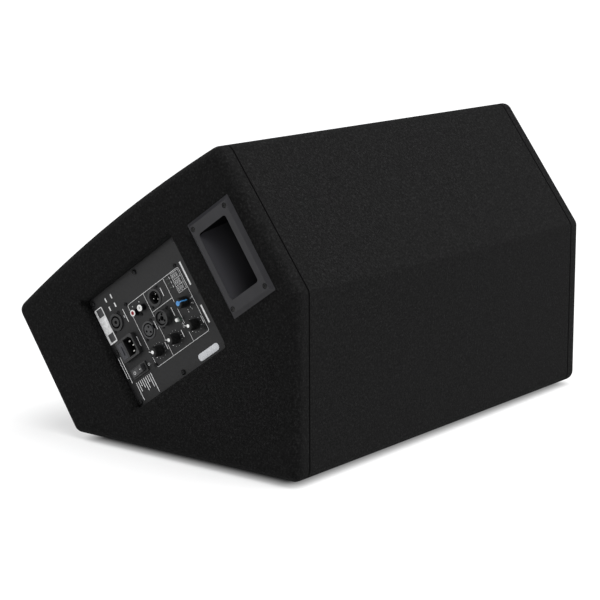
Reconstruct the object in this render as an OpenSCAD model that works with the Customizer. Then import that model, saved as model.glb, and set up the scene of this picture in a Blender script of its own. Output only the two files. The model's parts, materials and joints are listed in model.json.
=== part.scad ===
// Powered stage monitor wedge: carpeted plywood cabinet, coaxial loudspeaker and an amplifier in one end.
// X runs along the cabinet, +X is the amplifier end; +Y is the upright rear; Z is up from the floor.

/* [Cabinet] */
// Width over both end faces
cab_w = 670; // [650:5:690]
// Depth of the flat underside
floor_depth = 384; // [380:1:388]
// Height of the upright rear face
rear_height = 238; // [234:1:242]
// How far the top edge stands in front of the rear face
top_setback = 125; // [122:1:128]
// Height of the top edge
top_height = 410; // [406:1:414]
// How far the nose reaches in front of the underside
nose_overhang = 107; // [104:1:110]
// Height of the nose edge
nose_height = 159; // [156:1:162]
// Rise of the curved front over its chord
front_bow = 11; // [10:0.5:12]
// Radius of the carpeted outer edges
edge_r = 13.5; // [12:0.5:14]
// Plywood thickness
panel_t = 15; // [15:0.5:16]
// Carpet thickness
carpet_t = 3; // [2.5:0.25:3]
// How far the end carpet laps onto the long faces
lap_w = 25; // [24:1:28]
// Height of the rubber feet
foot_h = 7; // [6:1:9]

/* [Amplifier] */
// Length of the amplifier plate down the slope
plate_w = 158; // [157:0.5:158.5]
// Length of the amplifier plate up the slope
plate_h = 190; // [189:0.5:190]
// Depth of the plate below the end face
recess = 12.5; // [12:0.5:13]
// Body height of the rotary knobs
knob_h = 14; // [12:0.5:15]
// Body diameter of the rotary knobs
knob_d = 14; // [13:0.5:15]

/* [Handles] */
// Length of the handle flange
handle_w = 133; // [131:1:135]
// Height of the handle flange
handle_h = 80; // [79:1:81]
// Height of the handle flange above the carpet
flange_t = 4.5; // [3.5:0.5:5]
// Length of the hand hole
grip_w = 93; // [90:1:94]

/* [Loudspeaker] */
// Outer radius of the woofer frame
frame_r = 193; // [191:1:194]
// Depth of the baffle face below the chord of the front
baffle_deep = 30; // [29:1:32]

/* [Hidden] */
$fn = 48;
eps = 0.01;

// Side outline, as [depth, height] from the rear foot of the cabinet: floor, rear, top, nose, front foot.
raw = [[0, 0], [0, rear_height], [-top_setback, top_height],
    [-(floor_depth + nose_overhang), nose_height], [-floor_depth, 0]];
function unit(v) = v / norm(v);
function normal_in(p, i) = let (t = unit(p[(i + 1) % len(p)] - p[i])) [-t[1], t[0]];
function turn(p, i) = let (a = normal_in(p, (i + len(p) - 1) % len(p)), b = normal_in(p, i))
    atan2(a[0] * b[1] - a[1] * b[0], a * b);
function mitre(p, i) = let (a = normal_in(p, (i + len(p) - 1) % len(p)), b = normal_in(p, i))
    (a + b) / (1 + a * b);
function inset(p, d) = [for (i = [0:len(p) - 1]) p[i] + d * mitre(p, i)];

// Curved front: points on the arc over the chord from the top edge down to the nose.
chord = raw[2] - raw[3];
half_chord = norm(chord) / 2;
front_r = (half_chord * half_chord + front_bow * front_bow) / (2 * front_bow);
front_half_angle = asin(half_chord / front_r);
slope = atan2(chord[1], chord[0]);
function along(a) = [cos(a), sin(a)];
function arc_at(t, drop) = [(front_r - drop) * sin(t), (front_r - drop) * cos(t) - front_r + front_bow];
front_steps = 16;
chord_mid = (raw[2] + raw[3]) / 2;
front_arc = [for (i = [1:front_steps - 1]) let (q = arc_at(front_half_angle * (1 - 2 * i / front_steps), 0))
    chord_mid + q[0] * along(slope) + q[1] * along(slope + 90)];
bowed = concat([raw[0], raw[1], raw[2]], front_arc, [raw[3], raw[4]]);

// Middle of the whole depth goes to Y = 0, and the underside stands on the feet.
nose_i = len(bowed) - 2;
depth_all = edge_r - (bowed[nose_i] + edge_r * mitre(bowed, nose_i))[0];
shift = [depth_all / 2, foot_h];
outline = [for (p = bowed) p + shift];
corners = [for (p = raw) p + shift];
front_mid = chord_mid + shift;

// Outline set in by d, with its corners rounded about the same centres as the outer ones.
function rounded(d) = [for (i = [0:len(outline) - 1]) let (bend = turn(outline, i), steps = ceil(bend / 15))
    for (k = [0:bend < 5 ? 0 : steps])
        bend < 5 ? outline[i] + d * mitre(outline, i)
        : let (n = normal_in(outline, (i + len(outline) - 1) % len(outline)),
            a = atan2(-n[1], -n[0]) + bend * k / steps)
            outline[i] + edge_r * mitre(outline, i) + (edge_r - d) * along(a)];

end_x = cab_w / 2;
in_x = end_x - carpet_t - panel_t;
wall = carpet_t + panel_t;
lap_x = end_x - lap_w;
inner = inset(corners, wall);

// Places on the end face, as [depth, height] from the rear foot, and the tilt of what is set there.
end_tilt = slope - 90;
amp_at = [-238, 170] + shift;
handle_at = [-102, 273] + shift;

// Amplifier plate layout, measured from the plate's centre: [down the slope, up the slope].
plate_screw_at = [for (u = [-73, 0, 73], v = [-90, 90]) [u, v]];
side_screw_at = [[-73, 2], [73, 2]];
module_screw_at = [[-46.7, 69.9], [42.4, 70.7], [-45.4, -36.9], [44.4, -35.3]];
selector_at = [-0.4, 58.8];
master_at = [31, 57.5];
input_1_at = [31, 16.8];
input_2_at = [31.5, -18];
line_out_at = [-29.4, 14.6];
combo_at = [0.3, 15.7];
mic_at = [1, -19.3];
phono_at = [[-28.2, -10.6], [-28.2, -25.5]];
outlet_at = [-33.7, -65.3];
inlet_at = [4.9, -63];
rocker_at = [37.5, -65];
button_at = [14.4, 38.8];
led_at = [for (u = [-38.2, -32.3, -26.2]) [u, 48.4]];
socket_screw_step = [9.6, -10.4];
phono_screw_at = [-22.3, -19.4];
socket_screw_at = [for (c = [line_out_at, combo_at, mic_at, outlet_at], s = [-1, 1]) c + s * socket_screw_step];
board_z = -28.6;
chassis_deep = 86;
chassis = [134, 168];
box_hole = [136, 170];

// Mains inlet: upper cavity and lower fuse bay in a raised housing.
inlet_size = [30, 34];
inlet_rise = 6.5;
cavity_size = [24.5, 16.2];
cavity_v = 6.6;
bay_size = [23.2, 11.2];
bay_v = -9.6;
drawer_gap = 0.3;
mains_pin_at = [[-7, cavity_v - 2], [7, cavity_v - 2], [0, cavity_v + 2]];
shaft_r = 3;
rocker_pivot = -2;
rocker_tilt = 8;

// Loudspeaker layout, across and up the baffle from its centre.
woofer_hole_r = 176;
port_at = [for (s = [-1, 1]) [s * 250, -150]];
port_r = 33;
woofer_screw_r = 185;
grille_drop = 4;
grille_t = 1.5;
grille_half = half_chord - wall - 1.5;
foam_t = 5;
grille_screw_at = [for (x = [-285, -95, 95, 285], b = [-190, 190]) [x, b]];
foot_at = [for (x = [-275, 275], y = [-38, -338]) [x, y + shift[0]]];

// Speaker leads, as [across, up the baffle, out of the baffle] from the baffle's centre.
woofer_lead = [[236.3, -80, -120], [228, -80, -120], [210, -80.5, -116], [180, -78, -110], [140, -68, -105],
    [105.5, -56.5, -102]];
driver_lead = [[236.3, 70, -130], [228, 70, -130], [210, 70, -141], [170, 60, -165], [110, 36, -184], [53, 10, -188]];
lead_r = 2.5;

carpet_colour = [0.1, 0.1, 0.105];
ply_colour = [0.72, 0.58, 0.4];
plastic_colour = [0.23, 0.23, 0.25];
plate_colour = [0.2, 0.2, 0.21];
black = [0.05, 0.05, 0.05];
steel = [0.62, 0.62, 0.64];
brass = [0.8, 0.68, 0.35];

// ---- placing ----
module on_end(side, at) // local x down the slope, y up the slope, z out of the end face
    mirror([side < 0 ? 1 : 0, 0, 0])
        translate([end_x, at[0], at[1]]) rotate([end_tilt, 0, 0]) rotate([90, 0, 90]) children();

module on_plate() on_end(1, amp_at) translate([0, 0, -recess]) children();

module on_plate_at(p) on_plate() translate([p[0], p[1], 0]) children();

module on_front() // local x across, y up the baffle, z out of the front; z = 0 on the chord
    translate([0, front_mid[0], front_mid[1]]) rotate([slope, 0, 0]) children();

module at_each(points) for (p = points) translate([p[0], p[1], 0]) children();

module across(x0, x1, points) // prism along X over an outline of [y, z]
    translate([x0, 0, 0]) rotate([90, 0, 90]) linear_extrude(x1 - x0) polygon(points);

function round_rect(w, h, r) = [for (q = [0:3], k = [0:4]) let (a = q * 90 + k * 22.5,
    c = [(q == 0 || q == 3 ? 1 : -1) * (w / 2 - r), (q < 2 ? 1 : -1) * (h / 2 - r)]) c + r * along(a)];

module slab(w, h, r, z0, z1) translate([0, 0, z0]) linear_extrude(z1 - z0) polygon(round_rect(w, h, r));

module rod(r, z0, z1) translate([0, 0, z0]) cylinder(r = r, h = z1 - z0);

module tube(ro, ri, z0, z1) difference() {
    rod(ro, z0, z1);
    rod(ri, z0 - 1, z1 + 1);
}

module pan_screw(head_r, head_t, shank_r, length) { // pan head over z = 0, shank below
    difference() {
        rotate_extrude() polygon([[0, 0], [head_r, 0], [head_r, head_t * 0.55], [head_r * 0.6, head_t], [0, head_t]]);
        for (a = [0, 90]) rotate([0, 0, a])
            translate([-head_r * 0.55, -head_r * 0.11, head_t * 0.4]) cube([head_r * 1.1, head_r * 0.22, head_t]);
    }
    rod(shank_r, -length, 0);
}

// ---- cabinet ----
module rounded_end(d, x_in) { // one end of the cabinet as a closed block, set in by d, end edge rounded
    rings = concat([[x_in, d]],
        [for (a = [0:15:75]) [end_x - edge_r + (edge_r - d) * sin(a), edge_r - (edge_r - d) * cos(a)]],
        [[end_x - d, edge_r - 1.2]]);
    n = len(rounded(0));
    last = len(rings) - 1;
    polyhedron([for (q = rings, p = rounded(q[1])) [q[0], p[0], p[1]]],
        concat([[for (i = [0:n - 1]) i], [for (i = [n - 1:-1:0]) last * n + i]],
            [for (k = [0:last - 1], i = [0:n - 1]) let (m = (i + 1) % n)
                [k * n + i, (k + 1) * n + i, (k + 1) * n + m, k * n + m]]));
}

module front_bay() { // open front between the nose panel and the upper panel
    reach = 60;
    up_nose = unit(corners[3] - corners[4]);
    up_top = unit(corners[2] - corners[1]);
    across(-in_x, in_x, [inner[3], inner[2], inner[2] + reach * up_top, inner[3] + reach * up_nose]);
}

module amp_opening(grow, z0) slab(plate_w + 2 + 2 * grow, plate_h + 1.2 + 2 * grow, 5 + grow, z0, 40);

module amp_cut() { // rebate and through hole for the amplifier, with screw pilots
    amp_opening(carpet_t, -recess - 2);
    slab(box_hole[0], box_hole[1], 4, -60, 0);
    at_each(concat(plate_screw_at, side_screw_at)) rod(1.8, -recess - 15, 0);
}

handle_screw_at = [for (u = [-56, 56], v = [-31, 31]) [u, v]];
mouth = [-26.5, 25.5];
cup = [[mouth[0], 20], [mouth[0], 3.5], [13, -54], [26, -56], [32, -48], [32, -14], [mouth[1], -7], [mouth[1], 20]];

module handle_cut(extra) { // hole for the cup, with screw pilots
    translate([-grip_w / 2 - 3 - extra, -30 - extra, -60]) cube([grip_w + 6 + 2 * extra, 65.5 + 2 * extra, 80]);
    at_each(handle_screw_at) rod(1.9, -22, 5);
}

module end_panel(side) difference() {
    if (side > 0) rounded_end(carpet_t, in_x);
    else mirror([1, 0, 0]) rounded_end(carpet_t, in_x);
    on_end(side, handle_at) handle_cut(0.3);
    if (side > 0) on_end(side, amp_at) amp_cut();
}

module end_panel_right() color(ply_colour) end_panel(1);

module end_panel_left() color(ply_colour) end_panel(-1);

// One long panel along edge i; grow_a and grow_b run its ends past the corners before the outline trims them.
module long_panel(i, grow_a, grow_b) {
    j = (i + 1) % 5;
    t = unit(corners[j] - corners[i]);
    outer = inset(corners, carpet_t);
    intersection() {
        across(-in_x, in_x, [outer[i] - grow_a * t, outer[j] + grow_b * t, inner[j] + grow_b * t,
            inner[i] - grow_a * t]);
        across(-in_x - 1, in_x + 1, rounded(carpet_t));
    }
}

module bottom_panel() color(ply_colour) difference() {
    long_panel(4, 0, 0);
    at_each(foot_at) rod(2.2, 0, foot_h + 16);
}

module rear_panel() color(ply_colour) long_panel(0, 0, 0);

module upper_panel() color(ply_colour) long_panel(1, 0, 40);

module nose_panel() color(ply_colour) long_panel(3, 40, 0);

module baffle() color(ply_colour) difference() {
    intersection() {
        on_front() translate([-in_x, -half_chord, -baffle_deep - panel_t]) cube([2 * in_x, 2 * half_chord, panel_t]);
        across(-in_x, in_x, inner);
    }
    on_front() rod(woofer_hole_r, -60, 0);
    on_front() at_each(port_at) rod(port_r + 2.6, -60, 0);
    on_front() at_each(grille_screw_at) rod(2, -60, 0);
    on_front() for (k = [0:7]) rotate([0, 0, 22.5 + 45 * k]) translate([woofer_screw_r, 0, 0]) rod(2.5, -60, 0);
}

module battens() color(ply_colour) {
    intersection() { // two battens behind the long edges of the baffle
        on_front() for (s = [-1, 1])
            translate([-in_x + 20, s * (half_chord - wall - 8) - 10, -baffle_deep - panel_t - 20])
                cube([2 * in_x - 40, 20, 20]);
        across(-in_x, in_x, inner);
    }
    for (s = [-1, 1]) // two gussets in the corner of floor and rear
        across(s * (in_x - 7) - 6, s * (in_x - 7) + 6, [inner[0], inner[0] + [0, 110], inner[0] - [110, 0]]);
}

module backing_frame() color(ply_colour) on_end(1, amp_at) difference() {
    translate([-85, -104, -carpet_t - panel_t - 12]) cube([175, 208, 12]);
    slab(box_hole[0], box_hole[1], 4, -60, 0);
    at_each(concat(plate_screw_at, side_screw_at)) rod(1.8, -recess - 15, 0);
}

module end_carpet(side) color(carpet_colour) difference() {
    union() {
        difference() {
            mirror([side < 0 ? 1 : 0, 0, 0]) rounded_end(0, lap_x);
            mirror([side < 0 ? 1 : 0, 0, 0]) rounded_end(carpet_t, lap_x - 1);
        }
        if (side > 0) on_end(side, amp_at) intersection() {
            amp_opening(carpet_t, -recess - 2);
            slab(400, 400, 5, -40, -carpet_t / 2);
        }
    }
    front_bay();
    on_end(side, handle_at) handle_cut(0.3);
    if (side > 0) on_end(side, amp_at) {
        amp_opening(0, -60);
        for (k = [0:3]) let (a = k * 22.5, b = a + 22.5, r = 5.5, w = plate_w + 2, h = plate_h + 1.2,
            g = r * (1 - cos(a)), g2 = r * (1 - cos(b)))
            translate([0, 0, r * (sin(a) - 1)]) linear_extrude(r * (sin(b) - sin(a)) + eps, slices = 1,
                scale = [(w + 2 * g2) / (w + 2 * g), (h + 2 * g2) / (h + 2 * g)])
                polygon(round_rect(w + 2 * g, h + 2 * g, 5 + g));
    }
}

module end_carpet_right() end_carpet(1);

module end_carpet_left() end_carpet(-1);

module wrap_carpet() color(carpet_colour) difference() {
    across(-lap_x + 0.6, lap_x - 0.6, rounded(0));
    across(-lap_x, lap_x, rounded(carpet_t));
    front_bay();
    at_each(foot_at) rod(2.2, 0, foot_h + 16);
}

module feet() color(black) at_each(foot_at) difference() {
    rotate_extrude() polygon([[0, 0], [12.2, 0], [13, 0.8], [14, foot_h], [0, foot_h]]);
    rod(5.2, -1, 3.4);
    rod(2.3, -1, foot_h + 1);
}

module foot_screws() color(steel) at_each(foot_at) {
    rod(4.8, 0.6, 3.3);
    rod(2.1, 3.3, foot_h + 15);
}

// ---- front ----
module bowed_sheet(x, drop, t, half, lip) // curved sheet over the front, its long edges turned in by lip
    on_front() rotate([90, 0, 90]) translate([0, 0, -x]) linear_extrude(2 * x) {
        n = 16;
        edge = asin(half / (front_r - drop));
        polygon(concat([for (i = [0:n]) arc_at(edge * (1 - 2 * i / n), drop)],
            [for (i = [0:n]) arc_at(-edge * (1 - 2 * i / n), drop + t)]));
        if (lip > 0) for (s = [-1, 1]) let (e = arc_at(edge, drop + t))
            polygon([[s * half, e[1]], [s * (half - t), e[1]], [s * (half - t), e[1] - lip], [s * half, e[1] - lip]]);
    }

module grille() color([0.13, 0.13, 0.135]) difference() {
    bowed_sheet(in_x - 1.5, grille_drop, grille_t, grille_half, 16);
    on_front() at_each(grille_screw_at) rod(2.6, -30, 30);
}

module grille_foam() color([0.08, 0.08, 0.08]) difference() {
    bowed_sheet(in_x - 5, grille_drop + grille_t + 0.2, foam_t, grille_half - 4, 0);
    on_front() at_each(grille_screw_at) rod(3, -30, 30);
}

grille_screw_z = arc_at(asin(190 / front_r), grille_drop)[1];

module grille_screws() color(black) on_front() at_each(grille_screw_at)
    translate([0, 0, grille_screw_z + 0.5]) pan_screw(4.5, 2.6, 1.95, 36);

// ---- handles ----
module handle(side) color(plastic_colour) on_end(side, handle_at) difference() {
    union() {
        linear_extrude(flange_t, slices = 1, scale = [(handle_w - 6) / handle_w, (handle_h - 6) / handle_h])
            polygon(round_rect(handle_w, handle_h, 1.5));
        intersection() {
            rotate([90, 0, 90]) translate([0, 0, -grip_w / 2 - 3]) linear_extrude(grip_w + 6)
                polygon(inset(cup, -3));
            slab(200, 200, 5, -80, 1);
        }
    }
    intersection() {
        rotate([90, 0, 90]) translate([0, 0, -grip_w / 2]) linear_extrude(grip_w) polygon(cup);
        union() {
            slab(grip_w + 1, 90, 1, -60, -7);
            translate([0, (mouth[0] + mouth[1]) / 2, 0]) slab(grip_w, mouth[1] - mouth[0], 4, -8, 20);
        }
    }
    at_each(handle_screw_at) {
        rod(2.2, -1, 10);
        rod(3.5, flange_t - 1.6, 10);
    }
}

module handle_right() handle(1);

module handle_left() handle(-1);

module handle_screws() color(black) for (side = [-1, 1]) on_end(side, handle_at) at_each(handle_screw_at)
    translate([0, 0, flange_t - 1.6]) pan_screw(3.2, 1.8, 1.9, 20);

// ---- inside ----
module wadding() color([0.85, 0.85, 0.82]) {
    t = 25;
    across(-295, 295, [inner[0] + [0, 60], inner[1] - [0, 12], inner[1] - [t, 12], inner[0] + [-t, 60]]);
    across(-295, 295, [inner[0] - [50, 0], inner[0] + [-50, t], inner[4] + [20, t], inner[4] + [20, 0]]);
}

module woofer_basket() color([0.16, 0.16, 0.17]) on_front() translate([0, 0, -baffle_deep]) difference() {
    union() {
        rotate_extrude($fn = 96) polygon([[175, 8], [frame_r, 8], [frame_r, 0], [woofer_hole_r - 1, 0],
            [woofer_hole_r - 1, -16], [98, -88], [45, -88], [45, -85], [95.5, -85], [172, -15.5], [172, 0]]);
        rotate_extrude($fn = 96) polygon([[108.5, -73], [113.5, -73], [113.5, -70.5], [108.5, -70.5]]);
    }
    for (k = [0:7]) rotate([0, 0, 22.5 + 45 * k]) translate([woofer_screw_r, 0, 0]) rod(2.6, -60, 20);
    for (k = [0:5]) rotate([0, 0, 60 * k]) translate([90, -38, -62]) cube([100, 76, 34]);
}

module woofer_magnet() color([0.2, 0.2, 0.21]) on_front() {
    tube(78, 41, -126, -118);
    tube(88, 50, -146, -126);
    rotate_extrude($fn = 96) polygon([[21.2, -118], [37.5, -118], [37.5, -146], [88, -146], [88, -156],
        [21.2, -156]]);
}

module woofer_screws() color(black) on_front() for (k = [0:7])
    rotate([0, 0, 22.5 + 45 * k]) translate([woofer_screw_r, 0, -baffle_deep + 8]) pan_screw(4.5, 3, 2.5, 22);

module surround() color([0.07, 0.07, 0.07]) on_front() translate([0, 0, -baffle_deep + 8]) {
    roll_r = 165;
    rotate_extrude($fn = 96) polygon(concat(
        [[179.5, 0], [179.5, 1], [roll_r + 8.5, 1]],
        [for (a = [10:10:170]) [roll_r + 8.5 * cos(a), 1 + 8 * sin(a)]],
        [[roll_r - 8.5, 1], [149, 1], [149, 0], [roll_r - 7.5, 0]],
        [for (a = [170:-10:10]) [roll_r + 7.5 * cos(a), 7.5 * sin(a)]],
        [[roll_r + 7.5, 0]]));
}

module spider() color([0.75, 0.6, 0.3]) on_front() translate([0, 0, -100]) {
    waves = 6;
    top = [for (k = [0:4 * waves]) let (r = 40.2 + 68 * k / (4 * waves)) [r, 2 * sin(k * 90) + 0.5]];
    bottom = [for (k = [4 * waves:-1:0]) let (r = 40.2 + 68 * k / (4 * waves)) [r, 2 * sin(k * 90) - 0.5]];
    rotate_extrude($fn = 96) polygon(concat(top, [[111, 0.5], [111, -0.5]], bottom));
}

// Inner radius of the horn at each depth below the chord of the front.
horn_bore = [[17.5, -156], [17.8, -130], [18.6, -116], [22, -103], [28, -91], [38, -78], [50, -68], [64, -60]];

module horn() color(black) on_front() rotate_extrude($fn = 96) polygon(concat(horn_bore,
    [for (i = [len(horn_bore) - 1:-1:0]) horn_bore[i] + [2.2, i > 4 ? -1.2 : 0]]));

module compression_driver() color([0.15, 0.15, 0.16]) on_front() rotate_extrude($fn = 96)
    polygon([[17.5, -156.2], [52, -156.2], [52, -190], [46, -198], [40, -206], [0, -206], [0, -168], [17.5, -168]]);

module port_tubes() color(black) on_front() at_each(port_at) {
    tube(port_r + 2.5, port_r, -150, -baffle_deep + 0.5);
    tube(port_r + 9, port_r, -baffle_deep + 0.5, -baffle_deep + 3);
}

// Round tube swept along a smooth path through the given points.
function smooth(p, i, t) = let (a = p[max(i - 1, 0)], b = p[i], c = p[i + 1], d = p[min(i + 2, len(p) - 1)])
    0.5 * (2 * b + (c - a) * t + (2 * a - 5 * b + 4 * c - d) * t * t + (3 * b - a - 3 * c + d) * t * t * t);

module lead(points) {
    sides = 8;
    per = 4;
    path = concat([for (i = [0:len(points) - 2], k = [0:per - 1]) smooth(points, i, k / per)],
        [points[len(points) - 1]]);
    n = len(path);
    rings = [for (i = [0:n - 1]) let (t = unit(path[min(i + 1, n - 1)] - path[max(i - 1, 0)]),
        u = unit(cross(t, [0, 1, 0])), v = cross(u, t)) for (k = [0:sides - 1])
        path[i] + lead_r * (cos(k * 360 / sides) * u + sin(k * 360 / sides) * v)];
    polyhedron(rings, concat([[for (k = [0:sides - 1]) k]],
        [for (i = [0:n - 2], k = [0:sides - 1]) let (m = (k + 1) % sides)
            [i * sides + k, (i + 1) * sides + k, (i + 1) * sides + m, i * sides + m]],
        [[for (k = [sides - 1:-1:0]) (n - 1) * sides + k]]));
}

module speaker_leads() color([0.6, 0.12, 0.1]) on_front() {
    lead(woofer_lead);
    lead(driver_lead);
}

// ---- amplifier ----
module amp_plate() color(plate_colour) on_plate() difference() {
    slab(plate_w, plate_h, 4, -2, 0);
    at_each(concat(plate_screw_at, side_screw_at)) rod(2.2, -5, 5);
    at_each(module_screw_at) rod(1.8, -5, 5);
    at_each(concat(socket_screw_at, [phono_screw_at])) rod(1.3, -5, 5);
    at_each([line_out_at, combo_at, mic_at, outlet_at]) rod(12, -5, 5);
    at_each(phono_at) rod(5, -5, 5);
    at_each([selector_at, master_at, input_1_at, input_2_at]) rod(3.7, -5, 5);
    at_each([button_at]) rod(3.2, -5, 5);
    at_each(led_at) rod(1.6, -5, 5);
    at_each([inlet_at]) slab(28, 32, 1, -5, 5);
    at_each([rocker_at]) slab(12.4, 28.4, 1, -5, 5);
}

module amp_chassis() color([0.55, 0.56, 0.57]) on_plate() difference() {
    slab(chassis[0], chassis[1], 2, -chassis_deep, -2);
    slab(chassis[0] - 3, chassis[1] - 3, 1, -chassis_deep + 1.5, 5);
    for (u = [-50:10:50], v = [-84, 84]) translate([u, v, -chassis_deep + 25]) cube([4, 8, 26], center = true);
}

module heat_sink() color([0.3, 0.3, 0.31]) on_plate() translate([0, 0, -chassis_deep - 22]) {
    translate([-50, -60, 18]) cube([100, 120, 4]);
    for (k = [0:10]) translate([-50 + 9.8 * k, -60, 0]) cube([2, 120, 18]);
}

module circuit_board() color([0.1, 0.35, 0.18]) on_plate() {
    slab(122, 156, 1, board_z - 1.6, board_z);
    for (u = [-50, -38, -26], v = [30, 44, 58]) translate([u, v, board_z - 6.6]) cube([6, 8, 5]);
    translate([44, -48, board_z - 9.6]) cube([10, 40, 8]);
}

module transformer() color([0.45, 0.3, 0.15]) on_plate() translate([-22, -36, 0])
    tube(36, 9, -chassis_deep + 1.5, -chassis_deep + 35);

module capacitors() color([0.1, 0.12, 0.2]) on_plate()
    at_each([[34, 52], [34, 24], [6, 60]]) rod(12, board_z - 41.6, board_z - 1.6);

module plate_screws() color([0.12, 0.12, 0.12]) on_plate() {
    at_each(concat(plate_screw_at, side_screw_at)) pan_screw(3.6, 2.2, 1.8, 14);
    at_each(module_screw_at) pan_screw(2.8, 1.8, 1.5, 8);
}

module line_output() color(black) on_plate_at(line_out_at) difference() {
    rod(11.8, -26, 0.8);
    rod(8.6, -14, 5);
    for (k = [0:2]) rotate([0, 0, 30 + 120 * k]) translate([4.4, 0, 0]) rod(1.25, -20, 0);
}

// Three contact places round a socket's axis.
module three(r) for (k = [0:2]) rotate([0, 0, 30 + 120 * k]) translate([r, 0, 0]) children();

module combo_input() color(black) on_plate_at(combo_at) difference() {
    union() {
        rod(11.8, -26, 1);
        rod(11.2, 1, 8);
    }
    tube(9.3, 7.6, -12, 20);
    rod(7.7, 6, 20);
    rod(3.25, -22, 20);
    three(5.3) rod(1.7, -10, 20);
}

module mic_input() color([0.2, 0.2, 0.21]) on_plate_at(mic_at) difference() {
    rod(11.8, -26, 0.8);
    tube(9.4, 7.6, -14, 20);
    three(4.2) rod(1.6, -12, 20);
    translate([-2.8, 7.2, -6]) cube([5.6, 5.2, 20]);
}

module latch_tab() color([0.6, 0.6, 0.62]) on_plate_at(mic_at) translate([-2.4, 7.9, -3]) cube([4.8, 3.2, 5.2]);

module phono_sleeves() color(black) on_plate() at_each(phono_at) {
    tube(4.9, 2.5, -0.5, 1.2);
    tube(4.2, 2.5, -22, 7.2);
}

module phono_insulators() on_plate() for (k = [0, 1])
    color(k == 0 ? [0.92, 0.92, 0.92] : [0.7, 0.08, 0.1]) at_each([phono_at[k]]) tube(2.45, 1.1, -20, 7.1);

module socket_screws() color([0.12, 0.12, 0.12]) on_plate() {
    at_each(socket_screw_at) pan_screw(2.1, 1.4, 1, 1.4);
    at_each([phono_screw_at]) pan_screw(2.6, 1.6, 1, 1.4);
}

module speaker_outlet() color([0.08, 0.08, 0.085]) on_plate_at(outlet_at) difference() {
    rod(11.8, -26, 2);
    tube(8.4, 6, -18, 20);
    rod(2.4, -16, 20);
}

module inlet_cavity() // socket cavity with its two cropped upper corners
    linear_extrude(40) polygon([for (s = [-1, 1], q = s < 0 ? [[0.5, -0.5], [0.5, 0.22], [0.33, 0.5]]
        : [[0.33, 0.5], [0.5, 0.22], [0.5, -0.5]])
        [s * q[0] * cavity_size[0], q[1] * cavity_size[1]]]);

module mains_inlet() color(black) on_plate_at(inlet_at) difference() {
    union() {
        slab(inlet_size[0], inlet_size[1], 2, 0, inlet_rise);
        slab(27.6, 31.6, 1, -24, 0);
    }
    translate([0, cavity_v, -9]) inlet_cavity();
    translate([0, bay_v, 0]) slab(bay_size[0], bay_size[1], 0.5, -19, 40);
    at_each(mains_pin_at) slab(1.7, 3.7, 0.2, -12, -2);
}

module contact_pins() color(steel) {
    on_plate_at(inlet_at) at_each(mains_pin_at) slab(1.6, 3.6, 0.2, -11.5, 1.5);
    on_plate_at(line_out_at) three(4.4) {
        rod(1.2, -19.5, -3);
        translate([0, 0, -3]) sphere(r = 1.2);
    }
}

module fuse_drawer() color([0.35, 0.36, 0.42]) on_plate_at(inlet_at + [0, bay_v]) difference() {
    union() {
        slab(bay_size[0] - 2 * drawer_gap, bay_size[1] - 2 * drawer_gap, 0.5, -18, inlet_rise);
        translate([-6, -1, inlet_rise]) cube([12, 2, 1]);
    }
    translate([-10.3, -2.8, -15]) cube([20.6, 8.6, 5.6]);
}

module fuse() color(steel) on_plate_at(inlet_at + [0, bay_v])
    translate([-10, 0, -12.2]) rotate([0, 90, 0]) cylinder(r = 2.5, h = 20);

module switch_frame() color(black) on_plate_at(rocker_at) difference() {
    union() {
        slab(14, 31, 1, 0, 2);
        slab(12, 28, 1, -16, 0);
    }
    slab(9.8, 26, 0.5, -9, 20);
    rocker_axle(1.55, 5.6);
}

module rocker_axle(r, half) translate([-half, 0, rocker_pivot]) rotate([0, 90, 0]) cylinder(r = r, h = 2 * half);

module rocker() color([0.15, 0.15, 0.16]) on_plate_at(rocker_at)
    translate([0, 0, rocker_pivot]) rotate([rocker_tilt, 0, 0]) translate([0, 0, -rocker_pivot]) {
        rotate([90, 0, 90]) translate([0, 0, -4.6]) linear_extrude(9.2)
            polygon([[-11.5, -4], [11.5, -4], [11.5, 5.6], [0, 3.6], [-11.5, 5.6]]);
        rocker_axle(1.5, 5.4);
    }

module push_button() color([0.92, 0.92, 0.92]) on_plate_at(button_at) {
    rotate_extrude() polygon([[0, -16], [2.4, -16], [2.4, 8.2], [1.8, 9], [0, 9]]);
}

module control_bodies() color([0.25, 0.35, 0.3]) on_plate() {
    at_each([selector_at, master_at, input_1_at, input_2_at]) difference() {
        union() {
            translate([-6, -6, board_z]) cube([12, 12, 10]);
            rod(3.5, board_z + 10, 0.4);
        }
        rod(shaft_r + 0.05, board_z + 4, 5);
    }
    at_each([button_at]) difference() {
        union() {
            translate([-3.6, -3.6, board_z]) cube([7.2, 7.2, 17]);
            rod(2.9, board_z + 17, 5.2);
        }
        rod(2.45, board_z + 4, 6);
    }
}

module knob(at, turned, tint) color(tint) on_plate_at(at) rotate([0, 0, -turned]) difference() {
    union() {
        rod(knob_d / 2 + 0.5, 0.8, 2.4);
        translate([0, 0, 2.4]) linear_extrude(knob_h - 3.4)
            polygon([for (k = [0:47]) (knob_d / 2 - (k % 2) * 0.5) * along(k * 7.5)]);
        rod(knob_d / 2 - 1, knob_h - 1, knob_h);
        rod(shaft_r, board_z + 5, 1);
    }
    translate([-0.5, knob_d / 2 - 1.2, 2.8]) cube([1, 3, knob_h]);
}

module selector_knob() knob(selector_at, 0, [0.08, 0.1, 0.14]);

module master_knob() knob(master_at, 210, black);

module input_1_knob() knob(input_1_at, 210, black);

module input_2_knob() knob(input_2_at, 210, black);

module indicator_leds() color([0.1, 0.16, 0.1]) on_plate() at_each(led_at) {
    rod(1.5, -6, 0.4);
    translate([0, 0, 0.4]) cylinder(r1 = 1.5, r2 = 0.9, h = 0.8);
}

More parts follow.
